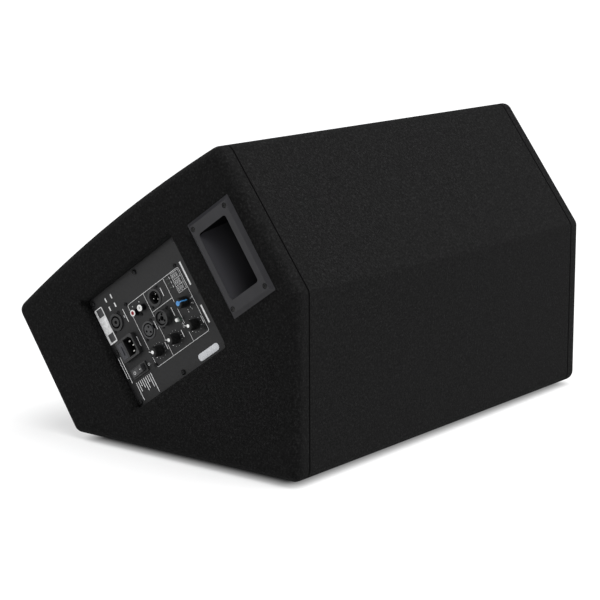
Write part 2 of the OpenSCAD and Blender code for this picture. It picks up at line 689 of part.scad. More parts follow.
// ---- moving loudspeaker parts ----
module woofer_cone() color([0.12, 0.12, 0.12]) on_front() rotate_extrude($fn = 96)
    polygon([[156, -22.2], [156, -23.4], [148.6, -23.4], [39.5, -90.6], [39.5, -88.6], [149, -22.2]]);

module voice_coil() color([0.7, 0.4, 0.2]) on_front() {
    tube(39.3, 38.6, -134, -90.8);
    tube(39.9, 39.3, -130, -114);
}

end_panel_right();
end_panel_left();
bottom_panel();
rear_panel();
upper_panel();
nose_panel();
baffle();
battens();
backing_frame();
end_carpet_right();
end_carpet_left();
wrap_carpet();
feet();
foot_screws();
grille();
grille_foam();
grille_screws();
handle_right();
handle_left();
handle_screws();
wadding();
woofer_basket();
woofer_magnet();
woofer_screws();
surround();
spider();
horn();
compression_driver();
port_tubes();
speaker_leads();
amp_plate();
amp_chassis();
heat_sink();
circuit_board();
transformer();
capacitors();
plate_screws();
line_output();
combo_input();
mic_input();
phono_sleeves();
phono_insulators();
socket_screws();
speaker_outlet();
mains_inlet();
contact_pins();
switch_frame();
control_bodies();
indicator_leds();
woofer_cone();
voice_coil();
fuse_drawer();
fuse();
rocker();
push_button();
latch_tab();
selector_knob();
master_knob();
input_1_knob();
input_2_knob();
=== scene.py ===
import json
import math

import bmesh
import bpy
from mathutils import Matrix, Vector


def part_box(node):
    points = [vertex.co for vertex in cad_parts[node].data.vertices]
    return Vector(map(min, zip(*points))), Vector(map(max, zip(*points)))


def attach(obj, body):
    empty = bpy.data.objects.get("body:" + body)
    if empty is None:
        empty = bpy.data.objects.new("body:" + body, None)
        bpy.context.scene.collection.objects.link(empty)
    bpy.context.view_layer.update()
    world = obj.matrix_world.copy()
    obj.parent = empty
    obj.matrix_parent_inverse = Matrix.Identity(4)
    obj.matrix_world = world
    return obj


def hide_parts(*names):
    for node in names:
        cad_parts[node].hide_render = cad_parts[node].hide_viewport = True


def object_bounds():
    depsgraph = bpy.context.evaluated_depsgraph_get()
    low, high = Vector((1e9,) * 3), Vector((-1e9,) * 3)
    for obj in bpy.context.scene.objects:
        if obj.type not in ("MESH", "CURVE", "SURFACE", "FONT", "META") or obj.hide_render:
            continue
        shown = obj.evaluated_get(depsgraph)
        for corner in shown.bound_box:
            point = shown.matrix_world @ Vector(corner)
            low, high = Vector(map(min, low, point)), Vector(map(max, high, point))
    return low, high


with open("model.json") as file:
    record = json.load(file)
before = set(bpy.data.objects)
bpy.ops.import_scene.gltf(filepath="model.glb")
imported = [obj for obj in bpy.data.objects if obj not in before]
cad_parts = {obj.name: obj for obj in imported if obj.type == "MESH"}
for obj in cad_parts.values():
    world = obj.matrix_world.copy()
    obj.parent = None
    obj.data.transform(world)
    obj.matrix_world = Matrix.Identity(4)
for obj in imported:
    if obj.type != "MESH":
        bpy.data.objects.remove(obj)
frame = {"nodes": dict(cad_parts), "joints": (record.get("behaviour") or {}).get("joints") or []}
cad_low, cad_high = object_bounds()

# Plywood box: panels, baffle, battens, gussets and the frame behind the amplifier, in 15 mm birch ply glued
# and pinned at mitred corners. The end that holds the amplifier is stained black, because its cut edges show.


def start_finish(name, colour, rough, metal=0.0):
    mat = bpy.data.materials.new(name)
    mat.use_nodes = True
    tree = mat.node_tree
    shader = tree.nodes["Principled BSDF"]
    shader.inputs["Base Color"].default_value = (*colour, 1)
    shader.inputs["Roughness"].default_value = rough
    shader.inputs["Metallic"].default_value = metal
    place = tree.nodes.new("ShaderNodeTexCoord")
    return mat, tree, shader, place.outputs["Object"]


def noise(tree, where, scale, detail=3.0, rough=0.55, stretch=None):
    node = tree.nodes.new("ShaderNodeTexNoise")
    node.inputs["Scale"].default_value = scale
    node.inputs["Detail"].default_value = detail
    node.inputs["Roughness"].default_value = rough
    if stretch:
        mapping = tree.nodes.new("ShaderNodeMapping")
        mapping.inputs["Scale"].default_value = stretch
        tree.links.new(where, mapping.inputs["Vector"])
        where = mapping.outputs["Vector"]
    tree.links.new(where, node.inputs["Vector"])
    return node.outputs["Fac"]


def ramp(tree, value, stops):
    node = tree.nodes.new("ShaderNodeValToRGB")
    while len(node.color_ramp.elements) < len(stops):
        node.color_ramp.elements.new(0.5)
    for element, (at, colour) in zip(node.color_ramp.elements, stops):
        element.position = at
        element.color = (*colour, 1)
    tree.links.new(value, node.inputs["Fac"])
    return node.outputs["Color"]


def to_range(tree, value, low, high):
    node = tree.nodes.new("ShaderNodeMapRange")
    node.inputs["To Min"].default_value = low
    node.inputs["To Max"].default_value = high
    tree.links.new(value, node.inputs["Value"])
    return node.outputs["Result"]


def calc(tree, kind, *values):
    """A Math node; each value is a number or another node's output."""
    node = tree.nodes.new("ShaderNodeMath")
    node.operation = kind
    for socket, value in zip(node.inputs, values):
        if isinstance(value, (int, float)):
            socket.default_value = value
        else:
            tree.links.new(value, socket)
    return node.outputs["Value"]


def vector_calc(tree, kind, vector, other=None):
    """A Vector Math node on a node's output and a fixed vector."""
    node = tree.nodes.new("ShaderNodeVectorMath")
    node.operation = kind
    tree.links.new(vector, node.inputs[0])
    if other is not None:
        node.inputs[1].default_value = other
    return node.outputs["Value" if kind in ("DOT_PRODUCT", "LENGTH") else "Vector"]


def blend(tree, factor, base, over):
    """The base colour, giving way to a fixed one as the factor rises."""
    node = tree.nodes.new("ShaderNodeMix")
    node.data_type = "RGBA"
    node.inputs["B"].default_value = (*over, 1)
    tree.links.new(factor, node.inputs["Factor"])
    tree.links.new(base, node.inputs["A"])
    return node.outputs["Result"]


def bump(tree, shader, height, strength, distance):
    node = tree.nodes.new("ShaderNodeBump")
    node.inputs["Strength"].default_value = strength
    node.inputs["Distance"].default_value = distance
    tree.links.new(height, node.inputs["Height"])
    tree.links.new(node.outputs["Normal"], shader.inputs["Normal"])


def mottled(name, dark, light, rough, grain, depth, metal=0.0, stretch=None):
    """A finish with two close tones, uneven gloss and a fine grain; grain is in ridges per metre."""
    mat, tree, shader, where = start_finish(name, light, sum(rough) / 2, metal)
    tone = noise(tree, where, grain / 9, 4, 0.6, stretch)
    tree.links.new(ramp(tree, tone, [(0.35, dark), (0.65, light)]), shader.inputs["Base Color"])
    tree.links.new(to_range(tree, noise(tree, where, grain / 4, 3, 0.5, stretch), *rough), shader.inputs["Roughness"])
    bump(tree, shader, noise(tree, where, grain, 2, 0.6, stretch), 0.5, depth)
    return mat


def dress(mat, *names):
    for name in names:
        node = frame["nodes"][name]
        node.data.materials.clear()
        node.data.materials.append(mat)


def veneer(name, dark, light):
    """Birch face with its figure along the cabinet, painted black on whatever faces the grille."""
    mat, tree, shader, where = start_finish(name, light, 0.6)
    figure = noise(tree, where, 14, 6, 0.65, (0.25, 4, 4))
    bare = ramp(tree, figure, [(0.3, dark), (0.7, light)])
    painted = calc(tree, "GREATER_THAN", vector_calc(tree, "DOT_PRODUCT", where, out_of_front), paint_from)
    tree.links.new(blend(tree, painted, bare, front_paint), shader.inputs["Base Color"])
    bump(tree, shader, noise(tree, where, 420, 2, 0.5, (0.08, 1, 1)), 0.4, 0.0003)
    return mat


def joint(name):
    return next(j for j in frame["joints"] if j["name"] == name)


out_of_front = Vector(joint("cone_travel")["axis"]).normalized()
paint_depth, front_paint = 0.0005, (0.004, 0.004, 0.004)
paint_from = max(v.co.dot(out_of_front) for v in frame["nodes"]["baffle"].data.vertices) - paint_depth
dress(veneer("birch_plywood", (0.36, 0.24, 0.14), (0.53, 0.39, 0.25)), "end_panel_left", "bottom_panel",
      "rear_panel", "upper_panel", "nose_panel", "baffle", "battens")
dress(veneer("stained_plywood", (0.004, 0.004, 0.004), (0.009, 0.0085, 0.008)), "end_panel_right", "backing_frame")

# Carpet covering: 3 mm black needle felt glued over the box, one sheet wrapped round the four long faces and one
# stretched over each end, which laps 25 mm round the edge to a close butt seam and rolls into the amplifier recess.

seam_half, seam_gap = 0.0016, 0.0006
seam_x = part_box("wrap_carpet")[1].x + seam_gap / 2
felt, tree, shader, where = start_finish("black_needle_felt", (0.0065, 0.0065, 0.0066), 0.95)
clumps = noise(tree, where, 350, 5, 0.75)
fibres = noise(tree, where, 1500, 4, 0.8)
pile = calc(tree, "MULTIPLY_ADD", clumps, 0.5, calc(tree, "MULTIPLY", fibres, 0.5))
felt_tone = ramp(tree, pile,
                 [(0.36, (0.0009, 0.0009, 0.0009)), (0.52, (0.0058, 0.0058, 0.0058)), (0.66, (0.027, 0.027, 0.027))])
across = tree.nodes.new("ShaderNodeSeparateXYZ")
tree.links.new(where, across.inputs["Vector"])
# Painted shade: a narrow band of felt along each lap seam is made near black, standing for the shade in the seam's gap.
seam_painted_shade = calc(tree, "COMPARE", calc(tree, "ABSOLUTE", across.outputs["X"]), seam_x, seam_half)
tree.links.new(blend(tree, seam_painted_shade, felt_tone, (0.0003, 0.0003, 0.0003)), shader.inputs["Base Color"])
shader.inputs["Specular IOR Level"].default_value = 0.04
shader.inputs["Sheen Weight"].default_value = 0.012
shader.inputs["Sheen Roughness"].default_value = 0.6
bump(tree, shader, pile, 0.8, 0.0012)


def placed(mesh):
    """An object of the mesh's own name, put in the scene."""
    piece = bpy.data.objects.new(mesh.name, mesh)
    bpy.context.scene.collection.objects.link(piece)
    return piece


def copy_of(node, name):
    """A welded copy of a CAD node's mesh, smooth wherever its faces meet at a low angle."""
    mesh = frame["nodes"][node].data.copy()
    mesh.name = name
    work = bmesh.new()
    work.from_mesh(mesh)
    bmesh.ops.remove_doubles(work, verts=work.verts, dist=0.00002)
    work.to_mesh(mesh)
    work.free()
    mesh.shade_smooth()
    mesh.set_sharp_from_angle(angle=math.radians(38))
    mesh.materials.clear()
    return placed(mesh)


for node, name in (("end_carpet_right", "felt_right_end"), ("end_carpet_left", "felt_left_end"),
                   ("wrap_carpet", "felt_wrap")):
    cover = copy_of(node, name)
    cover.data.materials.append(felt)
    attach(cover, "cabinet")
    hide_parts(node)

# Feet: four turned rubber buffers, each held to the underside by a zinc-plated screw sunk in its middle.

dress(mottled("foot_rubber", (0.012, 0.012, 0.012), (0.03, 0.03, 0.03), (0.7, 0.9), 900, 0.0002), "feet")
dress(mottled("zinc_plate", (0.45, 0.45, 0.47), (0.62, 0.62, 0.64), (0.25, 0.45), 700, 0.00005, 1.0), "foot_screws")

# Driver chassis: die-cast frame in satin black, painted ferrite magnet, pulp cone on a rubber roll and a brown
# resin-cloth spider, with the treble horn standing in the middle of the cone and its driver behind the magnet.

cast_black = mottled("cast_black", (0.012, 0.012, 0.013), (0.03, 0.03, 0.032), (0.45, 0.65), 500, 0.0002)
dress(cast_black, "woofer_basket", "compression_driver")
dress(mottled("magnet_paint", (0.03, 0.03, 0.032), (0.07, 0.07, 0.075), (0.5, 0.7), 300, 0.0002, 0.3),
      "woofer_magnet")
dress(mottled("roll_rubber", (0.008, 0.008, 0.008), (0.02, 0.02, 0.02), (0.5, 0.7), 700, 0.0001), "surround")
dress(mottled("cone_pulp", (0.008, 0.008, 0.009), (0.03, 0.03, 0.03), (0.75, 0.95), 900, 0.0004), "woofer_cone")
dress(mottled("spider_cloth", (0.3, 0.18, 0.06), (0.5, 0.34, 0.14), (0.7, 0.9), 1200, 0.0003), "spider")
dress(mottled("coil_wire", (0.35, 0.14, 0.05), (0.6, 0.28, 0.1), (0.3, 0.5), 2400, 0.0001, 0.6, (1, 1, 5)),
      "voice_coil", "transformer")
moulded_black = mottled("moulded_black", (0.003, 0.003, 0.0033), (0.008, 0.008, 0.0086), (0.45, 0.6), 1400, 0.00008)
dress(moulded_black, "horn", "port_tubes")
dress(mottled("lead_sheath", (0.2, 0.02, 0.015), (0.36, 0.04, 0.03), (0.4, 0.6), 500, 0.0001), "speaker_leads")
dress(mottled("loose_fibre", (0.5, 0.5, 0.47), (0.8, 0.8, 0.77), (0.9, 1.0), 260, 0.003), "wadding")

# Front grille: one sheet of black powder-coated steel, punched with rows of small hexagons inside a plain margin,
# bowed over the driver, its long edges turned in, with a sheet of open foam behind it and eight screws.

up_front = Vector((0, out_of_front.z, -out_of_front.y))
grille_paint = mottled("grille_powder", (0.008, 0.008, 0.0085), (0.02, 0.02, 0.021), (0.4, 0.6), 1600, 0.0001, 0.2)
dress(mottled("open_foam", (0.002, 0.002, 0.002), (0.012, 0.012, 0.012), (0.9, 1.0), 900, 0.0012), "grille_foam")
screw_black = mottled("black_oxide", (0.005, 0.005, 0.005), (0.016, 0.016, 0.0165), (0.3, 0.5), 1500, 0.00004, 0.7)
dress(screw_black, "grille_screws", "woofer_screws", "plate_screws", "socket_screws")
dress(mottled("dulled_zinc", (0.008, 0.008, 0.008), (0.025, 0.025, 0.024), (0.3, 0.5), 1500, 0.00004, 0.7),
      "handle_screws")

# The CAD grille's points give the sheet its size, its bow and the depth of its turned edges.
grille_points = [v.co for v in frame["nodes"]["grille"].data.vertices]
grille_x = max(p.x for p in grille_points)
along_front = [p.dot(up_front) for p in grille_points]
middle = (max(along_front) + min(along_front)) / 2
half_front = (max(along_front) - min(along_front)) / 2
crown = max(p.dot(out_of_front) for p in grille_points)
rim = max(p.dot(out_of_front) for p in grille_points
          if abs(p.dot(up_front) - middle) > half_front - 0.0002)
lip_end = min(p.dot(out_of_front) for p in grille_points)
bow = crown - rim
bow_radius = (half_front ** 2 + bow ** 2) / (2 * bow)


def on_bow(x, s, lift=0.0):
    """Point on the bowed sheet: x across, s up the curve from its middle, lift out of the face."""
    a = s / bow_radius
    return (Vector((x, 0, 0)) + up_front * (middle + (bow_radius + lift) * math.sin(a))
            + out_of_front * (crown - bow_radius + (bow_radius + lift) * math.cos(a)))


def hexagon_sheet():
    """Node tree: staggered rows of flat six-sided cells, each with its hole, bent onto a cylinder about X."""
    tree = bpy.data.node_groups.new("hexagon_sheet", "GeometryNodeTree")
    sockets = tree.interface.new_socket
    sockets("Geometry", in_out="INPUT", socket_type="NodeSocketGeometry")
    for name, value in (("Pitch", 0.0065), ("Hole", 0.74), ("Width", 0.6), ("Height", 0.38), ("Sheet", 0.0012),
                        ("Bow radius", 2.2)):
        sockets(name, in_out="INPUT", socket_type="NodeSocketFloat").default_value = value
    sockets("Paint", in_out="INPUT", socket_type="NodeSocketMaterial")
    sockets("Geometry", in_out="OUTPUT", socket_type="NodeSocketGeometry")
    new, link = tree.nodes.new, tree.links.new
    given = new("NodeGroupInput")

    pitch, hole, width = given.outputs["Pitch"], given.outputs["Hole"], given.outputs["Width"]
    height, sheet, radius = given.outputs["Height"], given.outputs["Sheet"], given.outputs["Bow radius"]
    row = calc(tree, "MULTIPLY", pitch, math.sqrt(3) / 2)
    columns = calc(tree, "FLOOR", calc(tree, "DIVIDE", width, pitch))
    rows = calc(tree, "FLOOR", calc(tree, "DIVIDE", height, row))
    grid = new("GeometryNodeMeshGrid")
    link(calc(tree, "MULTIPLY", calc(tree, "SUBTRACT", columns, 1), pitch), grid.inputs["Size X"])
    link(calc(tree, "MULTIPLY", calc(tree, "SUBTRACT", rows, 1), row), grid.inputs["Size Y"])
    link(columns, grid.inputs["Vertices X"])
    link(rows, grid.inputs["Vertices Y"])
    parts = new("ShaderNodeSeparateXYZ")
    link(new("GeometryNodeInputPosition").outputs["Position"], parts.inputs["Vector"])
    # 400 keeps every row's number above zero, and the quarter rounds half rows all one way.
    row_number = calc(tree, "ROUND", calc(tree, "ADD", calc(tree, "DIVIDE", parts.outputs["Y"], row), 400.25))
    odd = calc(tree, "MODULO", row_number, 2)
    shift = new("ShaderNodeCombineXYZ")
    half_pitch = calc(tree, "MULTIPLY", pitch, 0.5)
    link(calc(tree, "MULTIPLY", calc(tree, "SUBTRACT", odd, 0.5), half_pitch), shift.inputs["X"])
    stagger = new("GeometryNodeSetPosition")
    link(grid.outputs["Mesh"], stagger.inputs["Geometry"])
    link(shift.outputs["Vector"], stagger.inputs["Offset"])
    cell = new("GeometryNodeMeshCircle")
    cell.fill_type = "NGON"
    cell.inputs["Vertices"].default_value = 6
    link(calc(tree, "DIVIDE", pitch, math.sqrt(3)), cell.inputs["Radius"])
    turned = new("GeometryNodeTransform")
    turned.inputs["Rotation"].default_value = (0, 0, math.radians(30))
    link(cell.outputs["Mesh"], turned.inputs["Geometry"])
    ring = new("GeometryNodeExtrudeMesh")
    ring.mode = "FACES"
    ring.inputs["Offset Scale"].default_value = 0.0
    link(turned.outputs["Geometry"], ring.inputs["Mesh"])
    shrink = new("GeometryNodeScaleElements")
    link(ring.outputs["Mesh"], shrink.inputs["Geometry"])
    link(ring.outputs["Top"], shrink.inputs["Selection"])
    link(hole, shrink.inputs["Scale"])
    walls = new("GeometryNodeExtrudeMesh")
    walls.mode = "FACES"
    link(shrink.outputs["Geometry"], walls.inputs["Mesh"])
    link(ring.outputs["Top"], walls.inputs["Selection"])
    link(calc(tree, "MULTIPLY", sheet, -1), walls.inputs["Offset Scale"])
    open_up = new("GeometryNodeDeleteGeometry")
    open_up.domain = "FACE"
    link(walls.outputs["Mesh"], open_up.inputs["Geometry"])
    link(walls.outputs["Top"], open_up.inputs["Selection"])
    cells = new("GeometryNodeInstanceOnPoints")
    link(stagger.outputs["Geometry"], cells.inputs["Points"])
    link(open_up.outputs["Geometry"], cells.inputs["Instance"])
    real = new("GeometryNodeRealizeInstances")
    link(cells.outputs["Instances"], real.inputs["Geometry"])
    weld = new("GeometryNodeMergeByDistance")
    weld.inputs["Distance"].default_value = 0.0001
    link(real.outputs["Geometry"], weld.inputs["Geometry"])
    flat = new("ShaderNodeSeparateXYZ")
    link(new("GeometryNodeInputPosition").outputs["Position"], flat.inputs["Vector"])
    angle = calc(tree, "DIVIDE", flat.outputs["Y"], radius)
    reach = calc(tree, "ADD", radius, flat.outputs["Z"])
    bent = new("ShaderNodeCombineXYZ")
    link(flat.outputs["X"], bent.inputs["X"])
    link(calc(tree, "MULTIPLY", reach, calc(tree, "SINE", angle)), bent.inputs["Y"])
    link(calc(tree, "SUBTRACT", calc(tree, "MULTIPLY", reach, calc(tree, "COSINE", angle)), radius), bent.inputs["Z"])
    bend = new("GeometryNodeSetPosition")
    link(weld.outputs["Geometry"], bend.inputs["Geometry"])
    link(bent.outputs["Vector"], bend.inputs["Position"])
    coat = new("GeometryNodeSetMaterial")
    link(bend.outputs["Geometry"], coat.inputs["Geometry"])
    link(given.outputs["Paint"], coat.inputs["Material"])
    done = new("NodeGroupOutput")
    link(coat.outputs["Geometry"], done.inputs["Geometry"])
    return tree


def grown(tree, name, settings):
    """Runs a node tree on an empty mesh and returns the result as a plain object."""
    seed = placed(bpy.data.meshes.new(name + "_seed"))
    nodes = seed.modifiers.new(name, "NODES")
    nodes.node_group = tree
    sockets = {s.name: s.identifier for s in tree.interface.items_tree if s.in_out == "INPUT"}
    for key, value in settings.items():
        nodes[sockets[key]] = value
    bpy.context.view_layer.update()
    mesh = bpy.data.meshes.new_from_object(seed.evaluated_get(bpy.context.evaluated_depsgraph_get()))
    bpy.data.objects.remove(seed)
    mesh.name = name
    return placed(mesh)


def piece_from(work, name, mat):
    """Turns a finished bmesh into a piece in one material."""
    mesh = bpy.data.meshes.new(name)
    work.to_mesh(mesh)
    work.free()
    mesh.materials.append(mat)
    return placed(mesh)


margin, sheet_thickness = 0.013, 0.0012
perforated = grown(hexagon_sheet(), "grille_perforation", {
    "Width": 2 * (grille_x - margin), "Height": 2 * (half_front - margin), "Sheet": sheet_thickness,
    "Bow radius": bow_radius, "Paint": grille_paint})
to_front = Matrix((Vector((1, 0, 0)), up_front, out_of_front)).transposed().to_4x4()
to_front.translation = on_bow(0, 0, -0.0001)
perforated.data.transform(to_front)
used_x = max(abs(v.co.x) for v in perforated.data.vertices)
used_rise = max(v.co.dot(up_front) for v in perforated.data.vertices) - middle
used_s = bow_radius * math.asin(used_rise / bow_radius)

work = bmesh.new()
steps = 24
edge_inset, fold_out, fold_down, lip_gap = 0.0008, 0.0007, 0.0008, 0.0004
half_s = bow_radius * math.asin(half_front / bow_radius) - edge_inset
under_x, under_s = 0.0042, 0.0036
inner_x, inner_s = used_x - under_x, used_s - under_s


def strip(points_a, points_b):
    """Quads between two rows of points, facing out of the sheet."""
    a = [work.verts.new(p) for p in points_a]
    b = [work.verts.new(p) for p in points_b]
    for k in range(len(a) - 1):
        work.faces.new((a[k], a[k + 1], b[k + 1], b[k]))


def rise(x, s0, s1):
    return [on_bow(x, s0 + (s1 - s0) * k / steps) for k in range(steps + 1)]


def crossing(x, s):
    return [on_bow(-x + 2 * x * k / steps, s) for k in range(steps + 1)]


for side in (-1, 1):
    strip(rise(side * grille_x, -half_s, half_s), rise(side * inner_x, -half_s, half_s))
    edge = crossing(grille_x, side * half_s)
    strip(crossing(inner_x, side * inner_s), crossing(inner_x, side * half_s))
    fold = [p + up_front * side * fold_out - out_of_front * fold_down for p in edge]
    strip(edge, fold)
    strip(fold, [p - out_of_front * (p.dot(out_of_front) - lip_end - lip_gap) for p in fold])
bmesh.ops.remove_doubles(work, verts=work.verts, dist=0.00005)
bmesh.ops.recalc_face_normals(work, faces=work.faces)
if sum(f.normal.dot(out_of_front) * f.calc_area() for f in work.faces) < 0:
    bmesh.ops.reverse_faces(work, faces=work.faces)
grille_margin = piece_from(work, "grille_margin", grille_paint)
thick = grille_margin.modifiers.new("sheet", "SOLIDIFY")
thick.thickness = sheet_thickness
thick.offset = -1
for piece in (perforated, grille_margin):
    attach(piece, "cabinet")
    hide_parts("grille")

# Hand holes: a moulded cup in each end, black ABS with a fine spark-eroded grain, less glossy inside, where its colour
# is painted shade: darker with depth and near black on the mouth's side walls. Its bevelled flange is screwed down over
# the felt at four corners, and the cup slopes to a pocket behind the upper edge.


def soften(piece, width):
    """Rounds a piece's moulded or folded edges a little."""
    weld = piece.modifiers.new("weld", "WELD")
    weld.merge_threshold = 0.00001
    edge = piece.modifiers.new("edge", "BEVEL")
    edge.width = width
    edge.segments = 2
    edge.limit_method = "ANGLE"
    edge.angle_limit = math.radians(32)


def grained(name, dark, light, gloss):
    mat, tree, shader, where = start_finish(name, light, 0.5)
    spark = noise(tree, where, 2200, 2, 0.6)
    tone = noise(tree, where, 60, 3, 0.5)
    tree.links.new(ramp(tree, tone, [(0.3, dark), (0.7, light)]), shader.inputs["Base Color"])
    tree.links.new(to_range(tree, spark, 0.42, 0.62), shader.inputs["Roughness"])
    shader.inputs["Specular IOR Level"].default_value = gloss
    bump(tree, shader, spark, 0.35, 0.00012)
    return mat


flange_abs = grained("grained_abs", (0.010, 0.0097, 0.0117), (0.014, 0.0136, 0.0163), 0.32)
# Painted shade: a near-black copy of the ABS for the side walls of the mouth, which stand in shade.
cup_wall_painted_shade = grained("cup_wall_painted_shade", (0.0008, 0.0008, 0.001), (0.0014, 0.0014, 0.0017), 0.05)
felt_face, cup_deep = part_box("end_carpet_right")[1].x, 0.056
# Painted shade: the cup's colour darkens with depth, from near the flange's tone at the mouth to near black inside.
cup_painted_shade_abs, tree, shader, where = start_finish("cup_abs_painted_shade", (0.01, 0.0097, 0.0115), 0.7)
depth = tree.nodes.new("ShaderNodeSeparateXYZ")
tree.links.new(where, depth.inputs["Vector"])
cup_depth = tree.nodes.new("ShaderNodeMapRange")
cup_depth.inputs["From Min"].default_value = felt_face - cup_deep
cup_depth.inputs["From Max"].default_value = felt_face
tree.links.new(calc(tree, "ABSOLUTE", depth.outputs["X"]), cup_depth.inputs["Value"])
cup_shade_stops = [(0.1, (0.0003, 0.0003, 0.0003)), (0.5, (0.005, 0.0048, 0.0058)), (1.0, (0.021, 0.0205, 0.0245))]
tree.links.new(ramp(tree, cup_depth.outputs["Result"], cup_shade_stops), shader.inputs["Base Color"])
shader.inputs["Specular IOR Level"].default_value = 0.25
bump(tree, shader, noise(tree, where, 2200, 2, 0.6), 0.3, 0.0001)

# Both ends lean the same way: down_end runs down the slope that the hand holes and the amplifier are set along.
down_end = Vector(joint("rocker_tilt")["axis"]).normalized()
up_end = Vector((1, 0, 0)).cross(down_end)
mouth_half, mouth_low, mouth_high = 0.0467, -0.0267, 0.0257
corner_reach, wider_bevel = 0.0016, 0.0023
for side, outward in (("right", 1), ("left", -1)):
    cup = copy_of("handle_" + side, "hand_cup_" + side)
    for mat in (flange_abs, cup_painted_shade_abs, cup_wall_painted_shade):
        cup.data.materials.append(mat)
    flange_low, flange_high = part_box("handle_" + side)
    flange_mid = (flange_low + flange_high) / 2
    flange_top = max(abs(flange_low.x), abs(flange_high.x))
    flat = [v for v in cup.data.vertices if v.co.x * outward > flange_top - 0.0001]
    for along in (down_end, up_end):
        reach = max((v.co - flange_mid).dot(along) for v in flat)
        for v in flat:
            away = (v.co - flange_mid).dot(along)
            if abs(away) > reach - corner_reach:
                v.co -= along * math.copysign(wider_bevel, away)
    # Faces in the mouth take painted shade: side walls the near-black copy, the others the copy darkened with depth.
    for face in cup.data.polygons:
        from_mid = face.center - flange_mid
        in_mouth = (abs(from_mid.dot(down_end)) < mouth_half
                    and mouth_low < from_mid.dot(up_end) < mouth_high)
        if in_mouth and face.normal.x * outward < 0.95:
            face.material_index = 2 if abs(face.normal.dot(down_end)) > 0.7 else 1
    soften(cup, 0.0006)
    cup.modifiers.new("true_flats", "WEIGHTED_NORMAL").keep_sharp = True
    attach(cup, "cabinet")
    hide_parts("handle_" + side)

# Amplifier plate: 2 mm steel with a satin grey-black powder coat, on a zinc-plated tray that holds the toroidal
# transformer, the circuit board and its capacitors, with a finned aluminium sink on the tray's inner end.

plate_low, plate_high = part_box("amp_plate")
plate_mid = (plate_low + plate_high) / 2


def on_plate(u, v, z=0.0):
    """Point on the plate's face: u mm down the slope, v mm up it, z mm out."""
    return Vector((plate_high.x + z / 1000, plate_mid.y, plate_mid.z)) + (down_end * u + up_end * v) / 1000


def plate_spot(place):
    """Where a point in metres stands on the plate, in mm down and up the slope."""
    from_mid = Vector(place) - plate_mid
    return from_mid.dot(down_end) * 1000, from_mid.dot(up_end) * 1000


coat = mottled("satin_powder", (0.006, 0.006, 0.0064), (0.0095, 0.0095, 0.01), (0.45, 0.6), 2600, 0.00007)
coat.node_tree.nodes["Principled BSDF"].inputs["Specular IOR Level"].default_value = 0.28
dress(coat, "amp_plate")
dress(mottled("zinc_tray", (0.4, 0.41, 0.42), (0.6, 0.61, 0.62), (0.3, 0.5), 120, 0.00004, 0.9), "amp_chassis")
dress(mottled("black_anodised", (0.05, 0.05, 0.05), (0.1, 0.1, 0.1), (0.35, 0.5), 600, 0.0001, 0.8, (1, 6, 6)),
      "heat_sink")
dress(mottled("solder_mask", (0.01, 0.07, 0.03), (0.02, 0.13, 0.05), (0.2, 0.35), 300, 0.00008), "circuit_board")
dress(mottled("shrink_sleeve", (0.012, 0.015, 0.04), (0.03, 0.035, 0.07), (0.2, 0.35), 200, 0.00005), "capacitors")

# Printing on the plate: white epoxy ink, a rounded frame in three rows, tick marks round the knobs, small marks at
# the sockets, and plain bars where a maker's wording would stand.

ink_white = mottled("white_ink", (0.55, 0.55, 0.55), (0.78, 0.78, 0.78), (0.5, 0.7), 2500, 0.00003)
ink = bmesh.new()
ink_lift, sunk, rule = 0.06, -0.02, 0.55


def raised(work, top_points, foot_points):
    """A thin raised shape: its top, and the sides down to an outline sunk in the face below."""
    top = [work.verts.new(p) for p in top_points]
    foot = [work.verts.new(p) for p in foot_points]
    work.faces.new(top)
    for k in range(len(top)):
        m = (k + 1) % len(top)
        work.faces.new((foot[k], foot[m], top[m], top[k]))


def inked(points):
    """A printed shape: outline of (u, v) in mm, with a hair of thickness."""
    raised(ink, [on_plate(u, v, ink_lift) for u, v in points], [on_plate(u, v, sunk) for u, v in points])


def bar(u, v, length, width, turn=0.0):
    """A printed bar about (u, v), its length at turn degrees from the down-slope direction."""
    c, s = math.cos(math.radians(turn)), math.sin(math.radians(turn))
    inked([(u + c * x - s * y, v + s * x + c * y) for x, y in (
        (-length / 2, -width / 2), (length / 2, -width / 2), (length / 2, width / 2), (-length / 2, width / 2))])


def line(u0, v0, u1, v1, width=rule):
    bar((u0 + u1) / 2, (v0 + v1) / 2, math.hypot(u1 - u0, v1 - v0) + width, width,
        math.degrees(math.atan2(v1 - v0, u1 - u0)))


def dot(u, v, radius):
    inked([(u + radius * math.cos(a), v + radius * math.sin(a)) for a in (math.tau * k / 10 for k in range(10))])


def ring_line(u, v, radius, width, start=0.0, sweep=360.0, count=18):
    """A printed arc, in short straight pieces; angles run anticlockwise from down the slope."""
    for k in range(count):
        a, b = (math.radians(start + sweep * (k + t) / count) for t in (0, 1))
        inked([(u + r * math.cos(t), v + r * math.sin(t)) for r, t in (
            (radius - width / 2, a), (radius + width / 2, a), (radius + width / 2, b), (radius - width / 2, b))])


